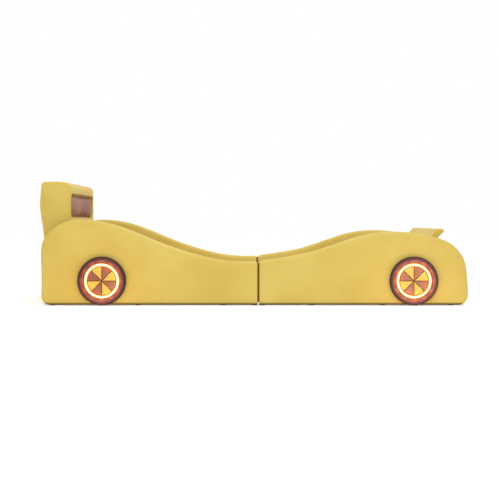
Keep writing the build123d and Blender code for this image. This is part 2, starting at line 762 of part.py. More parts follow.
def ring_section():
    """The light ring's channel, open towards the plate."""
    front = PLATE_THICK + RING_DEPTH
    with BuildSketch() as section:
        flat((RING_INNER, RING_OUTER), (PLATE_THICK, front))
        groove = inside((RING_INNER, RING_OUTER), RING_WALL)
        flat(groove, (PLATE_THICK, front - RING_WALL), mode=Mode.SUBTRACT)
    return section.sketch


def strip_section():
    """The light strip inside the channel."""
    with BuildSketch() as section:
        flat(STRIP_RADII, (PLATE_THICK, PLATE_THICK + STRIP_THICK))
    return section.sketch


def hub_wedges(remainder):
    """Every other wedge cushion of both right-hand hubs."""
    half_angle = radians(180 / HUB_WEDGES)
    apex = HUB_SEAM / 2 / sin(half_angle)
    reach = 2 * HUB_RADIUS
    side = (apex + reach * cos(half_angle), reach * sin(half_angle))
    with BuildPart() as wedges:
        for wheel_x in WHEEL_X:
            for number in range(remainder, HUB_WEDGES, 2):
                turn = radians((number + 0.5) * 360 / HUB_WEDGES)
                centre = (wheel_x, -RAIL_OUTER - PLATE_THICK, WHEEL_Z)
                outwards = Plane(centre, x_dir=(cos(turn), 0, sin(turn)), z_dir=(0, -1, 0))
                with BuildSketch(outwards):
                    Polygon((apex, 0), side, (side[0], -side[1]), align=None)
                    Circle(HUB_RADIUS, mode=Mode.INTERSECT)
                extrude(amount=HUB_DEPTH)
    return wedges


for wheel_name, wheel_x in zip(WHEEL_NAMES, WHEEL_X):
    save_with_mirror(turned_rings([wheel_x], tyre_section()), f"tyre_{wheel_name}")
    save_with_mirror(turned_rings([wheel_x], ring_section()), f"light_ring_{wheel_name}")
save_both_sides(turned_rings(WHEEL_X, strip_section()), "light_strips")
save_both_sides(hub_wedges(remainder=0), "hub_pads_yellow")
save_both_sides(hub_wedges(remainder=1), "hub_pads_brown")

with BuildPart() as plates:
    front = -RAIL_OUTER - PLATE_THICK
    for wheel_x in WHEEL_X:
        rod_along_y(wheel_x, WHEEL_Z, PLATE_RADIUS, -RAIL_OUTER, front)
        bore_along_y(wheel_x, CABLE_Z, CABLE_HOLE, -RAIL_OUTER, front)
        for dx, dz in wheel_screw_offsets():
            x, z = wheel_x + dx, WHEEL_Z + dz
            bore_along_y(x, z, SCREW_RADIUS, -RAIL_OUTER, front)
            bore_along_y(x, z, SCREW_HEAD_RADIUS, front + SCREW_HEAD, front)
save_both_sides(plates, "wheel_plates")

# Light controller, its button and inlet, and the wiring

with BuildPart() as controller:
    block(BOX_X, BOX_Y, BOX_Z)
    room = (inside(BOX_X, BOX_WALL), inside(BOX_Y, BOX_WALL), inside(BOX_Z, BOX_WALL))
    block(*room, mode=Mode.SUBTRACT)
    outer_wall = (BOX_X[0], BOX_X[0] + BOX_WALL)
    bore_along_x(*BUTTON_CENTRE, BUTTON_RADIUS + BUTTON_CLEARANCE, *outer_wall)
    bore_along_x(*INLET_CENTRE, INLET_RADIUS, *outer_wall)
    for y in CABLE_EXIT_Y.values():
        bore_along_x(y, CABLE_EXIT_Z, CABLE_HOLE, BOX_X[1] - BOX_WALL, BOX_X[1])
keep(controller, "light_controller")

with BuildPart() as button:
    front = BOX_X[0] - BUTTON_PROUD
    flange = BOX_X[0] + BOX_WALL + BUTTON_STOP_GAP
    rod_along_x(*BUTTON_CENTRE, BUTTON_RADIUS, front, front + BUTTON_DEPTH)
    rod_along_x(*BUTTON_CENTRE, BUTTON_FLANGE, flange, front + BUTTON_DEPTH)
keep(button, "light_button")

with BuildPart() as inlet:
    mouth = BOX_X[0]
    rod_along_x(*INLET_CENTRE, INLET_RADIUS, mouth, mouth + INLET_DEPTH)
    bore_along_x(*INLET_CENTRE, INLET_BORE, mouth, mouth + INLET_DEPTH - BOX_WALL)
    rod_along_x(*INLET_CENTRE, INLET_PIN, mouth + BOX_WALL, mouth + INLET_DEPTH)
keep(inlet, "power_inlet")


def wiring(y_exit, way):
    """One side's wiring: out of the controller, along the rail, and into both wheel discs."""
    run_y = way * CABLE_Y
    start_y = y_exit + way * CABLE_SLANT
    route = [
        (BOX_X[1] - BOX_WALL, y_exit, CABLE_EXIT_Z),
        (CABLE_CROSS_X, y_exit, CABLE_EXIT_Z),
        (CABLE_CROSS_X, start_y, CABLE_Z),
        (CABLE_CROSS_X, run_y - way * CABLE_CORNER, CABLE_Z),
        (CABLE_CROSS_X + CABLE_CORNER, run_y, CABLE_Z),
        (WHEEL_X[1], run_y, CABLE_Z),
        (WHEEL_X[1], way * CABLE_END, CABLE_Z),
    ]
    with BuildPart() as wire:
        with BuildLine() as path:
            FilletPolyline(*route, radius=CABLE_BEND_RADII)
        with BuildSketch(Plane(path.line @ 0, z_dir=path.line % 0)):
            Circle(CABLE_RADIUS)
        sweep()
        rod_along_y(WHEEL_X[0], CABLE_Z, CABLE_RADIUS, run_y, way * CABLE_END)
    return wire


left_wire = wiring(CABLE_EXIT_Y["left"], 1)
right_wire = wiring(CABLE_EXIT_Y["right"], -1)
with BuildPart() as harness:
    add(left_wire.part)
    add(right_wire.part)
keep(harness, "wiring")
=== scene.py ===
import json
import math

import bmesh
import bpy
import numpy as np
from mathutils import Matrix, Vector, noise
from mathutils.geometry import delaunay_2d_cdt


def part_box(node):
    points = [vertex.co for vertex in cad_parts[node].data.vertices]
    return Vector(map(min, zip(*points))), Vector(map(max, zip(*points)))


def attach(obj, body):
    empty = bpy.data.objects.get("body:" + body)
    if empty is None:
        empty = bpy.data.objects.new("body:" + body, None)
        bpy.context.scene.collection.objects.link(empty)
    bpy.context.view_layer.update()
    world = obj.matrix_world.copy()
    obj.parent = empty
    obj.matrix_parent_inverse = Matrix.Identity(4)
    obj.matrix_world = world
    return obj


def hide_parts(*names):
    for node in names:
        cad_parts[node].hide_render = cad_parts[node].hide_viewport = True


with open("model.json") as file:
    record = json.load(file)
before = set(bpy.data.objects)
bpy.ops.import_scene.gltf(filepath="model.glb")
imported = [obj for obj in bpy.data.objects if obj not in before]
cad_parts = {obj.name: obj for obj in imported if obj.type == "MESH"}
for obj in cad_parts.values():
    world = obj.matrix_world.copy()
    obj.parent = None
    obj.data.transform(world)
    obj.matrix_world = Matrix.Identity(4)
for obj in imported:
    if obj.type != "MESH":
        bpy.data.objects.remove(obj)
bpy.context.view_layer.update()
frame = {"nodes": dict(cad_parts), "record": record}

BODY = "bed_frame"
SIDES = {"right": -1, "left": 1}  # the sign of Y on each side
WHEELS = ("head", "foot")

nodes = frame["nodes"]


# Outlines, as arrays of points on a closed line


def section_loop(node, point, normal, keep):
    """The longest closed line where a plane cuts a CAD node, in the two axes to keep."""
    bm = bmesh.new()
    bm.from_mesh(nodes[node].data)
    bmesh.ops.remove_doubles(bm, verts=bm.verts, dist=1e-6)
    everything = bm.verts[:] + bm.edges[:] + bm.faces[:]
    cut = bmesh.ops.bisect_plane(bm, geom=everything, dist=1e-7, plane_co=point, plane_no=normal)
    left = {e for e in cut["geom_cut"] if isinstance(e, bmesh.types.BMEdge)}
    loops = []
    while left:
        edge = left.pop()
        loop = [edge.verts[0], edge.verts[1]]
        while True:
            following = [e for e in loop[-1].link_edges if e in left]
            if not following:
                break
            left.discard(following[0])
            loop.append(following[0].other_vert(loop[-1]))
        loops.append(np.array([[v.co[k] for k in keep] for v in loop]))
    bm.free()
    return max(loops, key=lambda points: np.linalg.norm(np.diff(points, axis=0), axis=1).sum())


def resampled(points, step):
    """The closed line, counter-clockwise, with points evenly spaced."""
    closed = np.vstack([points, points[:1]])
    run = np.concatenate([[0], np.cumsum(np.linalg.norm(np.diff(closed, axis=0), axis=1))])
    at = np.linspace(0, run[-1], max(12, round(run[-1] / step)), endpoint=False)
    even = np.column_stack([np.interp(at, run, closed[:, k]) for k in (0, 1)])
    following = np.roll(even, -1, axis=0)
    area = (even[:, 0] * following[:, 1] - even[:, 1] * following[:, 0]).sum()
    return even if area > 0 else even[::-1]


def softened(loop, rounds):
    """The closed line with its corners eased, holding its place elsewhere."""
    for _ in range(rounds):
        loop = 0.5 * loop + 0.25 * (np.roll(loop, 1, axis=0) + np.roll(loop, -1, axis=0))
    return loop


def nearest(points, loop):
    """For each point, the distance to a closed line and the direction away from it."""
    start, along = loop, np.roll(loop, -1, axis=0) - loop
    share = ((points[:, None] - start) * along).sum(2) / np.maximum((along**2).sum(1), 1e-15)
    gap = points[:, None] - (start + np.clip(share, 0, 1)[..., None] * along)
    far = np.linalg.norm(gap, axis=2)
    pick = far.argmin(1)
    rows = np.arange(len(points))
    away = gap[rows, pick] / np.maximum(far[rows, pick], 1e-9)[:, None]
    return far[rows, pick], away


def inset(loop, amount):
    """The closed line moved inwards (or outwards, if negative), without crossing itself."""
    along = np.roll(loop, -1, axis=0) - np.roll(loop, 1, axis=0)
    along /= np.linalg.norm(along, axis=1)[:, None]
    moved = loop + np.column_stack([-along[:, 1], along[:, 0]]) * amount
    for _ in range(4 if abs(amount) > 1e-6 else 0):
        far, away = nearest(moved, loop)
        moved += np.maximum(abs(amount) - far, 0)[:, None] * away
    return moved


def contains(loop, points):
    """Which points lie inside a closed line."""
    inside = np.zeros(len(points), bool)
    following = np.roll(loop, -1, axis=0)
    for (x0, y0), (x1, y1) in zip(loop, following):
        if y0 != y1:
            crosses = (y0 > points[:, 1]) != (y1 > points[:, 1])
            inside ^= crosses & (points[:, 0] < (x1 - x0) * (points[:, 1] - y0) / (y1 - y0) + x0)
    return inside


def filled(loops, spacing, rows=()):
    """Points and faces that fill the area inside the first line and outside the others.
    The lines' own points come first, in order. rows are heights that get a line of points each."""
    low, high = loops[0].min(0), loops[0].max(0)
    across = np.arange(low[0] + spacing / 2, high[0], spacing)
    up = np.arange(low[1] + spacing / 2, high[1], spacing)
    for row in rows:
        up = up[abs(up - row) > spacing / 3]
    up = np.concatenate([up, list(rows)])
    grid = np.array([(x, y) for y in up for x in across])
    keep = contains(loops[0], grid)
    for hole in loops[1:]:
        keep &= ~contains(hole, grid)
    grid = grid[keep]
    for loop in loops:
        if len(grid):
            grid = grid[nearest(grid, loop)[0] > 0.45 * spacing]
    points, edges = list(map(Vector, np.vstack([*loops, grid]))), []
    first = 0
    for loop in loops:
        edges += [(first + i, first + (i + 1) % len(loop)) for i in range(len(loop))]
        first += len(loop)
    made = delaunay_2d_cdt(points, edges, [], 1, 1e-7)
    origin = [ids[0] if ids else -1 for ids in made[3]]
    faces = []
    for face in made[2]:
        corners = [origin[i] for i in face]
        middle = np.mean([points[i] for i in corners], axis=0)[None]
        if -1 not in corners and not any(contains(hole, middle)[0] for hole in loops[1:]):
            faces.append(corners)
    return np.array([tuple(p) for p in points]), faces


def rounded_box(half_width, heights, radius, step=0.007):
    """A rounded rectangle, symmetrical about the middle."""
    corners = []
    for across, up, turn in ((1, 0, -90), (1, 1, 0), (-1, 1, 90), (-1, 0, 180)):
        centre = (across * (half_width - radius), heights[up] + (radius if up == 0 else -radius))
        for angle in np.radians(np.linspace(turn, turn + 90, 7)):
            corners.append((centre[0] + radius * math.cos(angle), centre[1] + radius * math.sin(angle)))
    return resampled(np.array(corners), step)


# Meshes


def drop(distance, radius):
    """How far a rounded edge lies below its face, at a distance in from the edge."""
    inward = np.clip(radius - distance, 0, radius)
    return radius - np.sqrt(np.maximum(radius**2 - inward**2, 0))


def finished(name, points, faces, material, smooth=40):
    """A mesh object with its faces turned outwards, shaded smooth except at sharp edges."""
    mesh = bpy.data.meshes.new(name)
    mesh.from_pydata([tuple(p) for p in points], [], faces)
    bm = bmesh.new()
    bm.from_mesh(mesh)
    bmesh.ops.remove_doubles(bm, verts=bm.verts, dist=2e-6)
    triangles = [f for f in bm.faces if len(f.verts) == 3]
    bmesh.ops.join_triangles(
        bm, faces=triangles, angle_face_threshold=0.6, angle_shape_threshold=0.6
    )
    bmesh.ops.recalc_face_normals(bm, faces=bm.faces)
    bm.to_mesh(mesh)
    bm.free()
    mesh.polygons.foreach_set("use_smooth", [True] * len(mesh.polygons))
    mesh.set_sharp_from_angle(angle=math.radians(smooth))
    mesh.materials.append(material)
    piece = bpy.data.objects.new(name, mesh)
    bpy.context.scene.collection.objects.link(piece)
    return piece


def panel_mesh(
    outline, front, back, front_radius, back_radius, spacing, band=(), holes=(), rows=(), arc_steps=5
):
    """Points (u, v, w) and faces of a padded slab with rounded edges.
    front and back give w from (points, distance in from the outline). band is a list of (share of
    the way from front to back, inset), and holes are (outline, radius, depth) sunk in the front."""
    angles = np.linspace(0, math.pi / 2, arc_steps + 1)
    points, faces = [], []

    def add_ring(flat, w):
        first = sum(len(p) for p in points)
        points.append(np.column_stack([flat, w]))
        return first

    def bridge(a, b, count):
        for i in range(count):
            j = (i + 1) % count
            faces.append([a + i, a + j, b + j, b + i])

    def face_side(face, radius, sign, side_holes):
        """One face of the slab, from its edge inwards; returns the edge ring's first index."""
        rings = []
        for angle in angles:
            distance = radius * (1 - math.cos(angle))
            flat = inset(outline, distance)
            w = face(flat, np.full(len(flat), distance)) - sign * drop(distance, radius)
            rings.append((add_ring(flat, w), flat))
        for (a, _), (b, _) in zip(rings, rings[1:]):
            bridge(a, b, len(outline))
        loops, starts = [rings[-1][1]], [rings[-1][0]]
        for hole, hole_radius, depth in side_holes:
            hole_rings = []
            for angle in angles[::-1]:
                distance = hole_radius * (1 - math.cos(angle))
                flat = inset(hole, -distance)
                w = face(flat, nearest(flat, outline)[0]) - sign * drop(distance, hole_radius)
                hole_rings.append((add_ring(flat, w), flat))
            wall = face(hole, nearest(hole, outline)[0])
            hole_rings.append((add_ring(hole, wall - sign * depth), hole))
            for (a, _), (b, _) in zip(hole_rings, hole_rings[1:]):
                bridge(a, b, len(hole))
            faces.append(list(range(hole_rings[-1][0], hole_rings[-1][0] + len(hole))))
            loops.append(hole_rings[0][1])
            starts.append(hole_rings[0][0])
        flat, inner = filled(loops, spacing, rows)
        counts = [len(loop) for loop in loops]
        edge_count = sum(counts)
        extra = flat[edge_count:]
        extra_start = add_ring(extra, face(extra, nearest(extra, outline)[0])) if len(extra) else 0
        index = np.concatenate([start + np.arange(count) for start, count in zip(starts, counts)])
        index = np.concatenate([index, extra_start + np.arange(len(extra))]).astype(int)
        faces.extend([index[i] for i in face_] for face_ in inner)
        return rings[0][0]

    front_edge = face_side(front, front_radius, 1, holes)
    back_edge = face_side(back, back_radius, -1, ())
    no_distance = np.zeros(len(outline))
    front_w = front(outline, no_distance) - front_radius
    back_w = back(outline, no_distance) + back_radius
    previous = front_edge
    for share, depth in band:
        flat = inset(outline, depth)
        ring = add_ring(flat, front_w + share * (back_w - front_w))
        bridge(previous, ring, len(outline))
        previous = ring
    bridge(previous, back_edge, len(outline))
    return np.vstack(points), faces


def swell(points, scale, amount, seed=0.0):
    """A slow, uneven rise and fall over a surface."""
    return np.array([noise.noise(Vector((u / scale + seed, v / scale, seed))) for u, v in points]) * amount


def lathe(profile, centre, out, count=96, ripple=None):
    """Points and faces turned about a line along Y; the profile is (radius, height) pairs."""
    points, faces = [], []
    turns = np.linspace(0, 2 * math.pi, count, endpoint=False)
    for radius, height in profile:
        for turn in turns:
            r, h = (radius, height) if ripple is None else ripple(radius, height, turn)
            across, up = r * math.cos(turn), r * math.sin(turn)
            points.append((centre[0] + across, centre[1] + out * h, centre[2] + up))
    rows = len(profile)
    for row in range(rows):
        for i in range(count):
            j = (i + 1) % count
            a, b = row * count, ((row + 1) % rows) * count
            faces.append([a + i, a + j, b + j, b + i])
    return points, faces


def stitches(name, line, material, out, pitch=0.007, length=0.0046, width=0.0006):
    """Short threads along a closed line of points in the frame, standing out to one side."""
    closed = np.vstack([line, line[:1]])
    steps = np.linalg.norm(np.diff(closed, axis=0), axis=1)
    run = np.concatenate([[0], np.cumsum(steps)])
    count = int(run[-1] / pitch)

    def at(distance):
        return np.array([np.interp(distance, run, closed[:, k]) for k in range(3)])

    points, faces = [], []
    for i in range(count):
        start, end = at(i * pitch), at(i * pitch + length)
        along = (end - start) / max(np.linalg.norm(end - start), 1e-9)
        across = np.cross(along, out)
        across /= max(np.linalg.norm(across), 1e-9)
        lift = np.cross(across, along)
        first = len(points)
        points.append(start - 0.2 * width * lift)
        for centre in (start + 0.25 * length * along, end - 0.25 * length * along):
            for way in (across, lift, -across, -lift):
                points.append(centre + width * way)
        points.append(end - 0.2 * width * lift)
        for k in range(4):
            j = (k + 1) % 4
            faces.append([first, first + 1 + k, first + 1 + j])
            faces.append([first + 1 + k, first + 5 + k, first + 5 + j, first + 1 + j])
            faces.append([first + 9, first + 5 + j, first + 5 + k])
    return finished(name, points, faces, material, smooth=60)


# Materials


def socket(item):
    """A node's first output, or the value itself."""
    return item.outputs[0] if isinstance(item, bpy.types.Node) else item


def add_node(tree, kind, props=(), **values):
    """A shader node with its properties and inputs set, or linked where the value is a node.
    Inputs go by name, or by number as i0, i1 and so on."""
    made = tree.nodes.new("ShaderNode" + kind)
    for name, value in dict(props).items():
        setattr(made, name, value)
    for name, value in values.items():
        numbered = name[0] == "i" and name[1:].isdigit()
        target = made.inputs[int(name[1:]) if numbered else name.replace("_", " ")]
        value = socket(value)
        if isinstance(value, bpy.types.NodeSocket):
            tree.links.new(value, target)
        else:
            target.default_value = value
    return made


def srgb(red, green, blue):
    """A colour in 0 to 255, as Blender's linear values."""
    linear = [((c / 255 + 0.055) / 1.055) ** 2.4 if c > 10 else c / 255 / 12.92 for c in (red, green, blue)]
    return (*linear, 1.0)


def ramp(tree, factor, *stops):
    """A colour ramp over (position, colour) stops."""
    made = add_node(tree, "ValToRGB", Fac=factor)
    elements = made.color_ramp.elements
    for element, (position, colour) in zip(elements, (stops[0], stops[-1])):
        element.position, element.color = position, colour
    for position, colour in stops[1:-1]:
        elements.new(position).color = colour
    return made


def grey(value):
    return (value, value, value, 1.0)


def maths(tree, operation, a, b=0.0):
    return add_node(tree, "Math", {"operation": operation}, i0=a, i1=b)


def mixed(tree, factor, a, b):
    """Two colours mixed."""
    made = add_node(tree, "Mix", {"data_type": "RGBA"}, i0=factor, i6=a, i7=b)
    return made.outputs[2]


def material(name, **sockets):
    """A new material, its node tree, its shader and its coordinates on the object."""
    made = bpy.data.materials.new(name)
    made.use_nodes = True
    tree = made.node_tree
    shader = tree.nodes["Principled BSDF"]
    for key, value in sockets.items():
        shader.inputs[key.replace("_", " ")].default_value = value
    return made, tree, shader, tree.nodes.new("ShaderNodeTexCoord").outputs["Object"]


def stretched(tree, coords, *scale):
    return add_node(tree, "Mapping", Vector=coords, Scale=scale).outputs[0]


def noise_at(tree, coords, scale, detail=3.0, rough=0.5):
    return add_node(tree, "TexNoise", Vector=coords, Scale=scale, Detail=detail, Roughness=rough).outputs[0]


def bumps(tree, shader, *layers):
    """Stack bumps: (height, strength, distance in metres) from the largest to the finest."""
    normal = None
    for height, strength, distance in layers:
        extra = {} if normal is None else {"Normal": normal}
        normal = add_node(tree, "Bump", Height=height, Strength=strength, Distance=distance, **extra)
    tree.links.new(normal.outputs[0], shader.inputs["Normal"])


def connect(tree, shader, colour, roughness=None):
    tree.links.new(socket(colour), shader.inputs["Base Color"])
    if roughness is not None:
        tree.links.new(socket(roughness), shader.inputs["Roughness"])


def disc_radius(tree):
    """How far out a point of a disc about Y lies: 0 in the middle and 1 at the outside."""
    generated = tree.nodes["Texture Coordinate"].outputs["Generated"]
    centred = add_node(tree, "Mapping", Vector=generated, Location=(-0.5, -0.5, -0.5))
    parts = add_node(tree, "SeparateXYZ", Vector=centred)
    square = [maths(tree, "MULTIPLY", parts.outputs[k], parts.outputs[k]) for k in (0, 2)]
    return maths(tree, "MULTIPLY", maths(tree, "SQRT", maths(tree, "ADD", *square)), 2.0)


def leatherette(name, colour, deep, pale, gloss=0.5, specular=0.12, shade=0.0, rim=False):
    """Grained imitation leather: pebbled, softly creased, paler where it is rubbed.
    shade darkens it just above the floor as a painted contact shadow, and rim darkens it towards the outside
    of a disc as painted shade."""
    made, tree, shader, at = material(name, Specular_IOR_Level=specular)
    edges = {"feature": "DISTANCE_TO_EDGE"}
    pebbles = add_node(tree, "TexVoronoi", edges, Vector=at, Scale=620.0, Randomness=0.9)
    valleys = ramp(tree, pebbles.outputs["Distance"], (0.0, grey(0.0)), (0.22, grey(1.0)))
    pores = noise_at(tree, at, 1900.0, 2.0)
    creases = noise_at(tree, at, 26.0, 5.0, 0.62)
    broad = noise_at(tree, at, 3.2, 3.0)
    tone = ramp(tree, broad, (0.32, deep), (0.5, colour), (0.7, pale))
    tone = mixed(tree, ramp(tree, creases, (0.35, grey(0.12)), (0.6, grey(0.0))), tone, deep)
    tone = mixed(tree, maths(tree, "MULTIPLY", maths(tree, "SUBTRACT", 1.0, valleys), 0.22), tone, deep)
    edge = add_node(tree, "NewGeometry").outputs["Pointiness"]
    rubbed = ramp(tree, edge, (0.52, grey(0.0)), (0.62, grey(0.3)))
    tone = mixed(tree, rubbed, tone, pale)
    dark = tuple(0.2 * c for c in deep[:3]) + (1.0,)
    # Painted shade: darker in the lowest centimetre or so, standing in for the contact shadow along the
    # floor.
    if shade:
        height = add_node(tree, "SeparateXYZ", Vector=at).outputs[2]
        tone = mixed(tree, ramp(tree, height, (0.011, grey(shade)), (0.018, grey(0.0))), tone, dark)
    # Painted shade: darker towards the outer edge of a disc, standing in for the occlusion where the tyre
    # meets the panel.
    if rim:
        share = disc_radius(tree)
        tone = mixed(tree, ramp(tree, share, (0.86, grey(0.0)), (1.0, grey(0.9))), tone, dark)
    shine = ramp(tree, creases, (0.3, grey(gloss + 0.1)), (0.7, grey(gloss - 0.05)))
    connect(tree, shader, tone, shine)
    bumps(tree, shader, (creases, 0.16, 0.0016), (valleys, 0.3, 0.00022), (pores, 0.2, 0.00008))
    return made


def plywood(name, axis):
    """Birch plywood: long grain on the faces, stacked layers on the edges."""
    made, tree, shader, at = material(name, Specular_IOR_Level=0.3)
    face, late, glue = srgb(214, 184, 140), srgb(178, 136, 88), srgb(96, 62, 36)
    grain = noise_at(tree, stretched(tree, at, 3.0, 60.0, 60.0), 2.4, 6.0, 0.6)
    board = ramp(tree, grain, (0.3, late), (0.55, face), (0.75, srgb(226, 200, 160)))
    across = add_node(tree, "SeparateXYZ", Vector=at).outputs[axis]
    layers = maths(tree, "FRACT", maths(tree, "MULTIPLY", across, 1 / 0.0028))
    plies = ramp(tree, layers, (0.0, glue), (0.08, late), (0.5, face), (0.56, late), (1.0, face))
    facing = add_node(tree, "NewGeometry").outputs["Normal"]
    normal = add_node(tree, "SeparateXYZ", Vector=facing).outputs[axis]
    on_edge = maths(tree, "LESS_THAN", maths(tree, "ABSOLUTE", normal), 0.7)
    shine = ramp(tree, grain, (0.3, grey(0.72)), (0.7, grey(0.55)))
    connect(tree, shader, mixed(tree, on_edge, board, plies), shine)
    bumps(tree, shader, (grain, 0.2, 0.0004), (noise_at(tree, at, 900.0), 0.15, 0.0001))
    return made


def slat_wood():
    """Pale beech slats, each of a slightly different tone, with grain along their length."""
    made, tree, shader, at = material("beech_slats", Specular_IOR_Level=0.35)
    along = add_node(tree, "SeparateXYZ", Vector=at).outputs[0]
    slat = maths(tree, "FLOOR", maths(tree, "MULTIPLY", along, 1 / SLAT_PITCH))
    shade = add_node(tree, "TexWhiteNoise", {"noise_dimensions": "1D"}, W=slat).outputs["Value"]
    grain = noise_at(tree, stretched(tree, at, 110.0, 4.0, 110.0), 1.6, 6.0, 0.6)
    specks = noise_at(tree, stretched(tree, at, 900.0, 120.0, 900.0), 1.0, 2.0)
    flecks = ramp(tree, specks, (0.62, grey(0.0)), (0.7, grey(0.5)))
    late, early, pale = srgb(196, 150, 104), srgb(224, 186, 142), srgb(234, 202, 162)
    tone = ramp(tree, grain, (0.3, late), (0.6, early), (0.8, pale))
    tone = mixed(tree, maths(tree, "MULTIPLY", shade, 0.22), tone, srgb(188, 138, 92))
    tone = mixed(tree, flecks, tone, srgb(150, 102, 66))
    connect(tree, shader, tone, ramp(tree, grain, (0.3, grey(0.52)), (0.7, grey(0.38))))
    bumps(tree, shader, (grain, 0.18, 0.0003), (flecks, 0.1, 0.0001))
    return made


def coated(name, dark, light, rough, scale=700.0, metal=0.0):
    """Painted, moulded or plated stock: a fine texture, uneven sheen and rubbed edges."""
    made, tree, shader, at = material(name, Metallic=metal, Specular_IOR_Level=0.5)
    peel, patches = noise_at(tree, at, scale, 2.0), noise_at(tree, at, 22.0, 4.0, 0.6)
    tone = ramp(tree, patches, (0.3, dark), (0.7, light))
    edge = add_node(tree, "NewGeometry").outputs["Pointiness"]
    worn = ramp(tree, edge, (0.53, grey(0.0)), (0.6, grey(0.45)))
    pale = tuple(min(1.0, c * 1.8 + 0.02) for c in light[:3]) + (1.0,)
    tone = mixed(tree, worn, tone, pale)
    connect(tree, shader, tone, ramp(tree, patches, (0.3, grey(rough + 0.1)), (0.7, grey(rough - 0.08))))
    bumps(tree, shader, (patches, 0.08, 0.0006), (peel, 0.22, 0.00012))
    return made


def webbing():
    """Woven strap: fine crossing ribs."""
    made, tree, shader, at = material("woven_strap", Sheen_Weight=0.3, Sheen_Roughness=0.5)
    ribs = add_node(tree, "TexWave", {"bands_direction": "X"}, Vector=at, Scale=160.0, Distortion=0.6)
    picks = add_node(tree, "TexWave", {"bands_direction": "Y"}, Vector=at, Scale=110.0, Distortion=0.6)
    weave = maths(tree, "MULTIPLY", ribs.outputs["Fac"], picks.outputs["Fac"])
    tone = ramp(tree, weave, (0.0, srgb(150, 146, 136)), (0.7, srgb(226, 222, 210)))
    connect(tree, shader, tone, ramp(tree, weave, (0.0, grey(0.9)), (1.0, grey(0.7))))
    bumps(tree, shader, (weave, 0.5, 0.0004), (noise_at(tree, at, 1800.0), 0.3, 0.0001))
    return made


def light_ring(inner, outer):
    """A lit diffuser ring: bright along its middle, orange towards both edges."""
    made, tree, shader, _ = material("light_diffuser_ring", Roughness=0.35)
    radius = maths(tree, "MULTIPLY", disc_radius(tree), outer)
    across = maths(tree, "DIVIDE", maths(tree, "SUBTRACT", radius, inner), outer - inner)
    patches = noise_at(tree, tree.nodes["Texture Coordinate"].outputs["Object"], 160.0, 2.0)
    across = maths(tree, "ADD", across, maths(tree, "MULTIPLY", maths(tree, "SUBTRACT", patches, 0.5), 0.12))
    glow = ramp(
        tree, across,
        (0.0, srgb(236, 128, 52)), (0.16, srgb(254, 182, 92)), (0.3, srgb(255, 236, 176)),
        (0.72, srgb(255, 240, 186)), (0.88, srgb(254, 182, 96)), (1.0, srgb(236, 128, 60)),
    )
    strength = ramp(
        tree, across,
        (0.0, grey(0.5)), (0.2, grey(0.6)), (0.5, grey(1.0)), (0.8, grey(0.6)), (1.0, grey(0.5)),
    )
    shader.inputs["Base Color"].default_value = srgb(120, 60, 24)
    tree.links.new(glow.outputs[0], shader.inputs["Emission Color"])
    strength = maths(tree, "MULTIPLY", strength, RING_GLOW)
    tree.links.new(strength.outputs[0], shader.inputs["Emission Strength"])
    bumps(tree, shader, (patches, 0.1, 0.0003))
    return made


def lit_strip():
    """A strip of small lamps under the diffuser."""
    made, tree, shader, at = material("lamp_strip", Roughness=0.5)
    lamps = add_node(tree, "TexVoronoi", Vector=at, Scale=90.0).outputs["Distance"]
    spots = ramp(tree, lamps, (0.12, srgb(255, 236, 180)), (0.3, srgb(255, 150, 60)))
    tree.links.new(spots.outputs[0], shader.inputs["Base Color"])
    tree.links.new(spots.outputs[0], shader.inputs["Emission Color"])
    shader.inputs["Emission Strength"].default_value = RING_GLOW
    bumps(tree, shader, (lamps, 0.3, 0.0004))
    return made


def studio_floor():
    made, tree, shader, at = material("studio_floor", Roughness=0.9, Specular_IOR_Level=0.0)
    tone = ramp(tree, noise_at(tree, at, 0.8, 3.0), (0.3, grey(0.90)), (0.7, grey(0.92)))
    connect(tree, shader, tone)
    shader.inputs["Emission Color"].default_value = grey(1.0)
    shader.inputs["Emission Strength"].default_value = FLOOR_GLOW
    return made


SLAT_PITCH = 0.151
RING_GLOW = 2.3
FLOOR_GLOW = 0.24

# shade=0.85 paints a contact shadow along the bottom of every yellow piece.
YELLOW = leatherette(
    "yellow_leatherette", srgb(197, 173, 88), srgb(192, 165, 78), srgb(202, 179, 95), shade=0.85
)
BROWN = leatherette(
    "brown_leatherette", srgb(146, 102, 84), srgb(126, 82, 66), srgb(160, 118, 100), specular=0.08
)
# rim=True paints shade on the tyre's outer edge.
TYRE = leatherette(
    "tyre_leatherette", srgb(112, 73, 71), srgb(96, 56, 54), srgb(128, 88, 86), specular=0.08, rim=True
)
THREAD = leatherette("yellow_thread", srgb(214, 168, 60), srgb(180, 130, 40), srgb(236, 200, 110), gloss=0.5)
DARK_THREAD = leatherette("brown_thread", srgb(96, 54, 34), srgb(70, 36, 20), srgb(140, 96, 70), gloss=0.5)

CARRIED = {
    "slat_wood": slat_wood(),
    "black_steel": coated("black_powder_coat", srgb(24, 24, 26), srgb(40, 40, 43), 0.5),
    "zinc_steel": coated(
        "zinc_plated_steel", srgb(150, 152, 156), srgb(196, 198, 200), 0.34, 500.0, metal=1.0
    ),
    "webbing": webbing(),
    "light_strip": lit_strip(),
    "black_plastic": coated("black_moulded_plastic", srgb(20, 20, 22), srgb(34, 34, 36), 0.46, 1200.0),
    "button_plastic": coated("button_plastic", srgb(176, 98, 26), srgb(206, 124, 40), 0.38, 1200.0),
    "cable_sheath": coated("cable_sheath", srgb(26, 25, 25), srgb(44, 42, 42), 0.55, 900.0),
    "glide_plastic": coated("glide_nylon", srgb(58, 56, 54), srgb(82, 80, 76), 0.5, 900.0),
}
PLY = {"y": plywood("birch_plywood_long", 1), "x": plywood("birch_plywood_cross", 0)}
ACROSS_X = ("headboard_board", "foot_board", "screen_board", "spoiler_board")

STAINED = coated("stained_plate", srgb(104, 58, 36), srgb(124, 72, 46), 0.6)
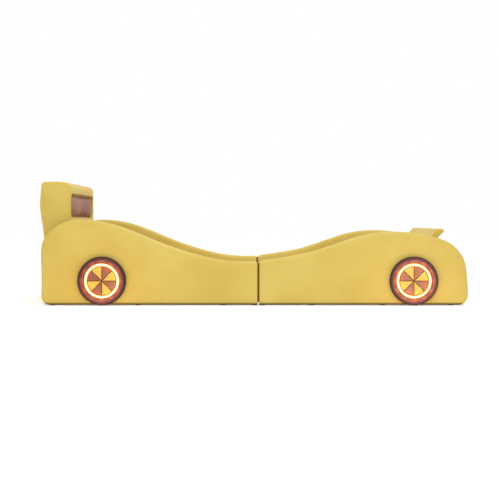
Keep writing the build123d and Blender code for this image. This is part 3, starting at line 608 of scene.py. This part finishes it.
# Painted shade: a dark olive leather for the sheet that stands for the shadow in the rail joint.
JOINT_SHADE_SHEET = leatherette("joint_shade_sheet", srgb(112, 82, 22), srgb(88, 62, 14), srgb(130, 98, 34), gloss=0.6)

for subpart in frame["record"]["subparts"]:
    name, slot_name = subpart["node"], subpart["material_slot"]
    if name == "wheel_plates":
        finish = STAINED
    elif slot_name == "plywood":
        finish = PLY["x" if name in ACROSS_X else "y"]
    else:
        finish = CARRIED.get(slot_name)
    if finish is not None:
        mesh = nodes[name].data
        mesh.materials.clear()
        mesh.materials.append(finish)


def placed(piece, slot_name, *replaced, fill=None):
    """Fix a finished piece to the bed and hide the CAD parts it replaces."""
    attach(piece, BODY)
    if replaced:
        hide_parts(*replaced)
    return piece


# Side rails


def rail_pad(name, side, half):
    """A rail half's padding, from the outline of its CAD solid."""
    outline = softened(resampled(section_loop(name, (0, side * 0.576, 0), (0, 1, 0), (0, 2)), 0.007), 2)
    wheel = wheel_centre(half, side)
    seed = 3.1 * side + (7.7 if half == "foot" else 0.0)

    def front(points, distance):
        from_wheel = np.hypot(points[:, 0] - wheel[0], points[:, 1] - wheel[1])
        pressed = np.clip((from_wheel - 0.124) / 0.05, 0, 1)
        crown = 0.0045 * (1 - np.exp(-distance / 0.035)) - 0.001
        return RAIL_FACE + pressed * (crown + swell(points, 0.14, 0.0008, seed)) - 0.0006 * (1 - pressed)

    def back(points, distance):
        fold = points[:, 1] < BARE_HEIGHT
        padded = 0.506 - 0.0022 * (1 - np.exp(-distance / 0.05)) + swell(points, 0.12, 0.0008, seed + 5)
        return np.where(fold, 0.5268, np.maximum(padded, 0.5052))

    band = [(share, depth) for share, depth in (
        (0.03, -0.0008), (0.045, 0.0008), (0.06, -0.0008), (0.2, -0.0026), (0.5, -0.0034),
        (0.8, -0.0026), (0.94, -0.0008), (0.955, 0.0008), (0.97, -0.0008),
    )]
    points, faces = panel_mesh(
        outline, front, back, 0.015, 0.012, 0.016, band=band, rows=(BARE_HEIGHT - 0.001, BARE_HEIGHT + 0.001)
    )
    if half == "head":
        points[:, 0] = np.minimum(points[:, 0], JOINT_X - JOINT_CREASE)
    else:
        points[:, 0] = np.maximum(points[:, 0], JOINT_X + JOINT_CREASE)
    world = np.column_stack([points[:, 0], side * points[:, 2], points[:, 1]])
    piece = finished(name.replace("rail_pad", "rail_cushion"), world, faces, YELLOW)
    placed(piece, "yellow_leatherette", name, fill=0.8)
    for share, number in ((0.045, 1), (0.955, 2)):
        depth = 0.573 + share * (0.518 - 0.573)
        line = inset(outline, 0.0003)
        line = np.column_stack([line[:, 0], np.full(len(line), side * depth), line[:, 1]])
        thread = stitches(f"{piece.name}_thread_{number}", line, THREAD, (0, side, 0))
        placed(thread, "yellow_leatherette")
    if half == "head":
        joint_shade_sheet(side, outline[outline[:, 0] > JOINT_X - 0.02][:, 1].max())


def joint_shade_sheet(side, top):
    """A dark sheet that closes the crease between a side's two halves: painted shade, standing for the
    shadow in the crease.
    """
    height, half_height = (top + JOINT_FOOT) / 2, (top - JOINT_SHADE_DROP - JOINT_FOOT) / 2
    corners = rounded_box(JOINT_CREASE - 0.0004, (height - half_height, height + half_height), 0.0015, 0.002)
    count = len(corners)
    rings = []
    for y in JOINT_SHADE_SHEET_Y:
        rings.append(np.column_stack([JOINT_X + corners[:, 0], np.full(count, side * y), corners[:, 1]]))
    faces = [list(range(count)), list(range(count, 2 * count))]
    faces += [[i, (i + 1) % count, count + (i + 1) % count, count + i] for i in range(count)]
    name = "joint_shade_sheet_left" if side > 0 else "joint_shade_sheet_right"
    piece = finished(name, np.vstack(rings), faces, JOINT_SHADE_SHEET)
    placed(piece, "yellow_leatherette")


def wheel_centre(half, side):
    """The middle of a wheel disc, in X and Z."""
    low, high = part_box(f"tyre_{half}_{'left' if side > 0 else 'right'}")
    return (low.x + high.x) / 2, (low.z + high.z) / 2


RAIL_FACE = 0.588
BARE_HEIGHT = 0.092
JOINT_X = 0.030
JOINT_CREASE = 0.0048
JOINT_SHADE_DROP = 0.010
JOINT_FOOT = 0.012
JOINT_SHADE_SHEET_Y = (0.5285, 0.5720)

for side_name, side in SIDES.items():
    for half in WHEELS:
        rail_pad(f"rail_pad_{half}_{side_name}", side, half)


# Headboard


def eased(value, start, end):
    """0 before start, 1 after end, and a smooth rise between."""
    share = np.clip((value - start) / (end - start), 0, 1)
    return share * share * (3 - 2 * share)


low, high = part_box("headboard_cover")
profile = section_loop("headboard_cover", (0, 0.49, 0), (0, 1, 0), (0, 2))
rear = profile[profile[:, 0] < -1.110]
rear = rear[rear[:, 1].argsort()]
SLAB_FRONT = high.x
SLAB_HALF = high.y
SLAB_FOOT = 0.104
SCREEN_HEIGHTS = (0.470, 0.602)
SCREEN = rounded_box(0.466, SCREEN_HEIGHTS, 0.045)


def rear_face(heights):
    return np.interp(heights, rear[:, 1], rear[:, 0])


def slab_front(points, distance):
    crown = 0.0095 * (1 - np.exp(-distance / 0.03)) - 0.001
    return SLAB_FRONT + crown + swell(points, 0.13, 0.0014, 1.7)


def slab_back(points, distance):
    top = eased(points[:, 1], 0.56, 0.655)
    face = rear_face(points[:, 1]) + 0.001 - 0.002 * (1 - np.exp(-distance / 0.05))
    return face + swell(points, 0.14, 0.0012, 9.2) - top * drop(distance, 0.02)


slab_band = [
    (0.1, -0.001), (0.3, -0.002), (0.5, -0.0024), (0.7, -0.002),
    (0.9, -0.001), (0.955, 0.0), (0.97, 0.0012), (0.985, 0.0),
]
outline = rounded_box(SLAB_HALF, (SLAB_FOOT, high.z), 0.006)
points, faces = panel_mesh(
    outline, slab_front, slab_back, 0.034, 0.020, 0.017,
    band=slab_band, holes=[(SCREEN, 0.009, 0.026)], arc_steps=7,
)
world = np.column_stack([points[:, 2], points[:, 0], points[:, 1]])
slab = finished("headboard_cushion", world, faces, YELLOW)
placed(slab, "yellow_leatherette", "headboard_cover", fill=0.8)

POCKET = rounded_box(0.048, (0.027, 0.093), 0.006, 0.002) + np.array([0.21, 0.0])
kick_outline = rounded_box(SLAB_HALF, (low.z, SLAB_FOOT - 0.001), 0.006)


def kick_back(points, distance):
    return -rear_face(points[:, 1]) - 0.0005 + swell(points, 0.09, 0.0008, 4.4)


def kick_front(points, distance):
    return np.full(len(points), 1.0956)


points, faces = panel_mesh(
    kick_outline, kick_back, kick_front, 0.008, 0.002, 0.014, holes=[(POCKET, 0.003, 0.029)]
)
world = np.column_stack([-points[:, 2], points[:, 0], points[:, 1]])
kick = finished("headboard_kick_panel", world, faces, YELLOW)
placed(kick, "yellow_leatherette", fill=0.8)

edge = inset(outline, 0.0215)
edge_line = np.column_stack([slab_back(edge, np.full(len(edge), 0.0215)) - 0.0002, edge])
placed(stitches("headboard_back_thread", edge_line, THREAD, (-1, 0, 0)), "yellow_leatherette")


# Padded pieces that a cloth simulation fills


def inflated(name, points, faces, voxel, cap, pinned):
    """A padded piece swollen under pressure, with its pinned side held flat; returns its mesh as arrays."""
    scene = bpy.context.scene
    piece = finished(name, points, faces, BROWN)
    remesh = piece.modifiers.new("Remesh", "REMESH")
    remesh.mode, remesh.voxel_size = "VOXEL", voxel
    shape = applied(piece)
    rest = vertices(shape)
    held = pinned(rest)
    group = shape.vertex_groups.new(name="pinned")
    group.add(np.nonzero(held)[0].tolist(), 1.0, "REPLACE")
    cloth = shape.modifiers.new("Cloth", "CLOTH")
    settings = cloth.settings
    settings.quality = 5
    settings.mass = 0.3
    settings.tension_stiffness = settings.compression_stiffness = 15
    settings.bending_stiffness = 0.5
    settings.use_pressure = True
    settings.uniform_pressure_force = 4
    settings.vertex_group_mass = "pinned"
    settings.effector_weights.gravity = 0
    cloth.point_cache.frame_start, cloth.point_cache.frame_end = 1, 20
    for number in range(1, 21):
        scene.frame_set(number)
    shape = applied(shape)
    moved = vertices(shape)
    scene.frame_set(1)
    offset = moved - rest
    length = np.linalg.norm(offset, axis=1)[:, None]
    moved = rest + offset * np.minimum(1, cap / np.maximum(length, 1e-9))
    shape.data.vertices.foreach_set("co", moved.astype(np.float32).ravel())
    shape.modifiers.new("Subdivision", "SUBSURF").levels = 1
    shape = applied(shape)
    result = vertices(shape), [tuple(p.vertices) for p in shape.data.polygons]
    bpy.data.objects.remove(shape)
    return result


def vertices(piece):
    return np.array([v.co for v in piece.data.vertices], float)


def applied(piece):
    """The piece with its modifiers made part of its mesh, as a new object."""
    graph = bpy.context.evaluated_depsgraph_get()
    mesh = bpy.data.meshes.new_from_object(piece.evaluated_get(graph))
    name = piece.name
    bpy.data.objects.remove(piece)
    made = bpy.data.objects.new(name, mesh)
    bpy.context.scene.collection.objects.link(made)
    return made


def cushion(outline, thickness, crown, reach, edge, spacing):
    """A cushion blank, (u, v, w) from w = 0 to its thickness, lower by the crown at its rounded edge."""
    def front(points, distance):
        return thickness - crown * np.clip(1 - distance / reach, 0, 1) ** 2

    def back(points, distance):
        return np.zeros(len(points))

    return panel_mesh(outline, front, back, edge, 0.002, spacing)


screen_low, screen_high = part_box("screen_pad")
blank = rounded_box(screen_high.y - 0.0015, (screen_low.z + 0.0015, screen_high.z - 0.0015), 0.043, 0.006)
points, faces = cushion(blank, 0.022, 0.012, 0.055, 0.009, 0.008)
points, faces = inflated("screen_blank", points, faces, 0.005, 0.005, lambda at: at[:, 2] < 0.004)
world = np.column_stack([screen_low.x + points[:, 2], points[:, 0], points[:, 1]])
placed(finished("screen_cushion", world, faces, BROWN), "brown_leatherette", "screen_pad", fill=0.7)


# Foot end


def deck_path():
    """The deck's outer line seen from the side, from its inner top edge down to the floor."""
    loop = resampled(section_loop("deck_pad", (0, 0.12, 0), (0, 1, 0), (0, 2)), 0.004)
    low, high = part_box("deck_pad")
    top = np.linalg.norm(loop - (low.x, high.z), axis=1).argmin()
    foot = np.linalg.norm(loop - (high.x, low.z), axis=1).argmin()
    ways = []
    for a, b in ((top, foot), (foot, top)):
        steps = np.arange(a, a + (b - a) % len(loop) + 1)
        ways.append(np.take(loop, steps, axis=0, mode="wrap"))
    line = max(ways, key=lambda part: part.sum(axis=1).mean())
    return line if line[0][1] > line[-1][1] else line[::-1]


def wrapped(points, line):
    """Carry (run, y, height) points onto a line in the X-Z plane, with height along its outward side."""
    run = np.concatenate([[0], np.cumsum(np.linalg.norm(np.diff(line, axis=0), axis=1))])
    even = np.linspace(0, run[-1], len(run))
    smooth = np.column_stack([np.interp(even, run, line[:, k]) for k in (0, 1)])
    along = np.gradient(smooth, even, axis=0)
    for _ in range(4):
        along[1:-1] = 0.5 * along[1:-1] + 0.25 * (along[:-2] + along[2:])
    along /= np.linalg.norm(along, axis=1)[:, None]
    spots = [np.interp(points[:, 0], even, column) for column in (*smooth.T, *along.T)]
    x = spots[0] + points[:, 2] * -spots[3]
    z = spots[1] + points[:, 2] * spots[2]
    return np.column_stack([x, points[:, 1], z])


def seam_dip(distance, depth=0.003, width=0.004):
    return depth * np.exp(-((distance / width) ** 2))


DECK_SEAMS = (-0.2, 0.2)
line = deck_path()
deck_length = np.linalg.norm(np.diff(line, axis=0), axis=1).sum()
deck_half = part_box("deck_pad")[1].y


def deck_front(points, distance):
    to_seam = np.min([abs(points[:, 1] - y) for y in DECK_SEAMS], axis=0)
    pillow = 0.003 * (1 - np.exp(-np.minimum(distance, to_seam + 0.004) / 0.03))
    return pillow - seam_dip(to_seam) + swell(points, 0.12, 0.0012, 12.0) - 0.001


def deck_back(points, distance):
    return np.full(len(points), -0.0275)


outline = rounded_box(deck_half - 0.0005, (0.0005, deck_length - 0.0005), 0.004)[:, ::-1][::-1]
rows = [y + step for y in DECK_SEAMS for step in (-0.011, -0.006, -0.0025, 0, 0.0025, 0.006, 0.011)]
points, faces = panel_mesh(outline, deck_front, deck_back, 0.010, 0.003, 0.015, rows=rows)
deck = finished("deck_cushion", wrapped(points, line), faces, YELLOW)
placed(deck, "yellow_leatherette", "deck_pad", fill=0.8)
for number, (y, gap) in enumerate([(y, gap) for y in DECK_SEAMS for gap in (-0.0055, 0.0055)], start=1):
    runs = np.arange(0.014, deck_length - 0.014, 0.004)
    flat_line = np.column_stack([runs, np.full(len(runs), y + gap), np.zeros(len(runs))])
    flat_line[:, 2] = deck_front(flat_line[:, :2], np.full(len(runs), 0.05)) + 0.0001
    thread = stitches(f"deck_thread_{number}", wrapped(flat_line, line), THREAD, (0.6, 0, 0.8))
    placed(thread, "yellow_leatherette")

low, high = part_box("foot_board_pad")
outline = rounded_box(high.y - 0.001, (low.z + 0.001, high.z - 0.0005), 0.006)


def foot_front(points, distance):
    return -low.x + 0.0025 * (1 - np.exp(-distance / 0.04)) - 0.001 + swell(points, 0.12, 0.001, 6.1)


def foot_back(points, distance):
    return np.full(len(points), -high.x)


points, faces = panel_mesh(outline, foot_front, foot_back, 0.007, 0.002, 0.016)
world = np.column_stack([-points[:, 2], points[:, 0], points[:, 1]])
foot_board = finished("foot_board_cushion", world, faces, YELLOW)
placed(foot_board, "yellow_leatherette", "foot_board_pad", fill=0.7)

low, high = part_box("spoiler_pad")
outline = softened(resampled(section_loop("spoiler_pad", (0, 0.480, 0), (0, 1, 0), (0, 2)), 0.004), 3)


def spoiler_end(points, distance):
    return high.y - 0.001 + 0.002 * (1 - np.exp(-distance / 0.01))


def spoiler_far_end(points, distance):
    return -spoiler_end(points, distance)


shares = np.linspace(0.01, 0.99, 60)
ripple = [(share, -0.0006 - 0.0006 * math.sin(9 * math.pi * share)) for share in shares]
points, faces = panel_mesh(outline, spoiler_end, spoiler_far_end, 0.007, 0.007, 0.008, band=ripple)
world = np.column_stack([points[:, 0], points[:, 2], points[:, 1]])
placed(finished("spoiler_cushion", world, faces, YELLOW), "yellow_leatherette", "spoiler_pad", fill=0.8)
for number, end in enumerate((-1, 1), start=1):
    rim = inset(outline, -0.0002)
    rim_line = np.column_stack([rim[:, 0], np.full(len(rim), end * (high.y - 0.0115)), rim[:, 1]])
    thread = stitches(f"spoiler_thread_{number}", rim_line, THREAD, (0, end, 0))
    placed(thread, "yellow_leatherette")


# Wheel discs


def bent(profile, steps):
    """A smooth closed profile through (radius, height) points."""
    return softened(resampled(np.array(profile), steps), 2)


TYRE_RIPPLES = 44
TYRE_MIDDLE = 0.1135
TYRE_HALF_WIDTH = 0.0168
tyre_profile = [(0.0985, 0.0002), (0.0972, 0.004), (0.0968, 0.009)]
for angle in np.linspace(math.pi, 0, 15)[1:-1]:
    tyre_profile.append((TYRE_MIDDLE + TYRE_HALF_WIDTH * math.cos(angle), 0.009 + 0.0205 * math.sin(angle)))
tyre_profile += [(0.1303, 0.009), (0.1300, 0.004), (0.1290, 0.0002)]
tyre_profile = bent(tyre_profile, 0.0022)
ring_profile = bent(
    [
        (0.0782, 0.0042), (0.0782, 0.0150), (0.0800, 0.0176), (0.0868, 0.0192),
        (0.0935, 0.0176), (0.0953, 0.0150), (0.0953, 0.0042),
    ],
    0.0018,
)
DIFFUSER = light_ring(0.078, 0.0955)


def puckered(radius, height, turn):
    """Gathers at the tyre's inner and outer seams, where the cover is pulled round the curve."""
    edge = abs(radius - TYRE_MIDDLE) / TYRE_HALF_WIDTH
    pull = 0.0007 * edge * edge * math.sin(TYRE_RIPPLES * turn + 1.3 * math.sin(5 * turn))
    slow = 0.0006 * math.sin(7 * turn + 0.8) * (height > 0.012)
    return radius, height + pull * (height > 0.004) + slow


def wheel(half, side_name, side):
    """A wheel disc's tyre and light ring."""
    x, z = wheel_centre(half, side)
    centre = (x, side * RAIL_FACE, z)
    points, faces = lathe(tyre_profile, centre, side, count=264, ripple=puckered)
    tyre = finished(f"tyre_cushion_{half}_{side_name}", points, faces, TYRE)
    placed(tyre, "brown_leatherette", f"tyre_{half}_{side_name}", fill=0.9)
    points, faces = lathe(ring_profile, centre, side, count=144)
    ring = finished(f"lit_ring_{half}_{side_name}", points, faces, DIFFUSER)
    placed(ring, "light_diffuser", f"light_ring_{half}_{side_name}")
    for number, radius in enumerate((0.0993, 0.1285), start=1):
        turns = np.linspace(0, 2 * math.pi, 160, endpoint=False)
        depth = np.full(len(turns), side * 0.6035)
        line = np.column_stack([x + radius * np.cos(turns), depth, z + radius * np.sin(turns)])
        thread = stitches(f"{tyre.name}_thread_{number}", line, DARK_THREAD, (0, side, 0))
        placed(thread, "brown_leatherette")


def wedge_outline():
    """A hub cushion's outline, pointing along +u from the hub's centre."""
    half_angle = math.radians(180 / HUB_WEDGES)
    apex = HUB_SEAM / 2 / math.sin(half_angle)
    reach = HUB_RADIUS + 0.0014
    swing = half_angle - math.asin(HUB_SEAM / 2 / reach)
    rim = [(reach * math.cos(a), reach * math.sin(a)) for a in np.linspace(-swing, swing, 15)]
    return softened(resampled(np.array([(apex, 0.0), *rim]), 0.003), 2)


HUB_WEDGES = 8
HUB_SEAM = 0.0014
HUB_RADIUS = 0.075
points, faces = cushion(wedge_outline(), 0.0135, 0.004, 0.016, 0.005, 0.004)
wedge_points, wedge_faces = inflated(
    "wedge_blank", points, faces, 0.0026, 0.004, lambda at: at[:, 2] < 0.003
)


def hub(half, side_name, side):
    """The eight cushions of a hub, in two colours by turns."""
    x, z = wheel_centre(half, side)
    for number in range(HUB_WEDGES):
        turn = (number + 0.5) * 2 * math.pi / HUB_WEDGES
        u, v, w = wedge_points.T
        world = np.column_stack([
            x + u * math.cos(turn) - v * math.sin(turn),
            side * (0.592 + w),
            z + u * math.sin(turn) + v * math.cos(turn),
        ])
        colour, leather = (("yellow", YELLOW), ("brown", BROWN))[number % 2]
        piece = finished(f"hub_{colour}_{half}_{side_name}_{number}", world, wedge_faces, leather)
        placed(piece, f"{colour}_leatherette", f"hub_pads_{colour}", fill=0.8)


for side_name, side in SIDES.items():
    for half in WHEELS:
        wheel(half, side_name, side)
        hub(half, side_name, side)


# Camera, floor and light


def aimed(made, place, target):
    """Put a camera or light somewhere and point it."""
    made.location = place
    made.rotation_euler = (Vector(target) - Vector(place)).to_track_quat("-Z", "Y").to_euler()
    bpy.context.scene.collection.objects.link(made)
    return made


def area_light(name, place, target, size, power):
    data = bpy.data.lights.new(name, "AREA")
    data.shape, data.size, data.size_y = "RECTANGLE", *size
    data.energy = power
    return aimed(bpy.data.objects.new(name, data), place, target)


lens = bpy.data.cameras.new("camera")
lens.lens, lens.sensor_width = 87.8, 36.0
EYE = Vector((-0.015, -7.12, 0.455))
PITCH = math.radians(-1.372)
ahead = Vector((0, math.cos(PITCH), math.sin(PITCH)))
camera = aimed(bpy.data.objects.new("camera", lens), EYE, EYE + ahead)
bpy.context.scene.camera = camera

FLOOR_REACH = 30.0
floor_mesh = bpy.data.meshes.new("floor")
corners = [(x * FLOOR_REACH, y * FLOOR_REACH, 0) for x, y in ((-1, -1), (1, -1), (1, 1), (-1, 1))]
floor_mesh.from_pydata(corners, [], [(0, 1, 2, 3)])
floor_mesh.materials.append(studio_floor())
floor = bpy.data.objects.new("floor", floor_mesh)
bpy.context.scene.collection.objects.link(floor)

world = bpy.data.worlds.new("studio")
world.use_nodes = True
world.node_tree.nodes["Background"].inputs["Color"].default_value = (1, 1, 1, 1)
world.node_tree.nodes["Background"].inputs["Strength"].default_value = 1.0
bpy.context.scene.world = world
bpy.context.scene.view_settings.view_transform = "Standard"

area_light("key", (1.6, -5.5, 3.4), (0.3, 0, 0.3), (3.5, 3.0), 20)
area_light("top", (0.3, -3.0, 3.8), (0.1, 0, 0.1), (4.0, 2.5), 44)
area_light("well", (0, -0.4, 1.5), (0, 0.56, 0.25), (2.0, 0.6), 8)


GLOW_COLOUR = (1.0, 0.46, 0.12)
SPILL_POWER = 0.58
SPILL_DEPTH, SPILL_HEIGHT = 0.80, 0.06
GLOW_POWER = 0.034
GLOW_RADIUS, GLOW_DEPTH = 0.0925, 0.621
GLOW_TURNS = np.radians(np.arange(0, 360, 30))


def glow_light(name, place, power, size):
    data = bpy.data.lights.new(name, "POINT")
    data.energy, data.color, data.shadow_soft_size = power, GLOW_COLOUR, size
    made = bpy.data.objects.new(name, data)
    made.location = place
    bpy.context.scene.collection.objects.link(made)


for side_name, side in SIDES.items():
    for half in WHEELS:
        x, z = wheel_centre(half, side)
        glow_light(f"spill_{half}_{side_name}", (x, side * SPILL_DEPTH, SPILL_HEIGHT), SPILL_POWER, 0.08)
        for number, turn in enumerate(GLOW_TURNS):
            across, up = GLOW_RADIUS * math.cos(turn), GLOW_RADIUS * math.sin(turn)
            place = (x + across, side * GLOW_DEPTH, z + up)
            glow_light(f"glow_{half}_{side_name}_{number}", place, GLOW_POWER, 0.008)
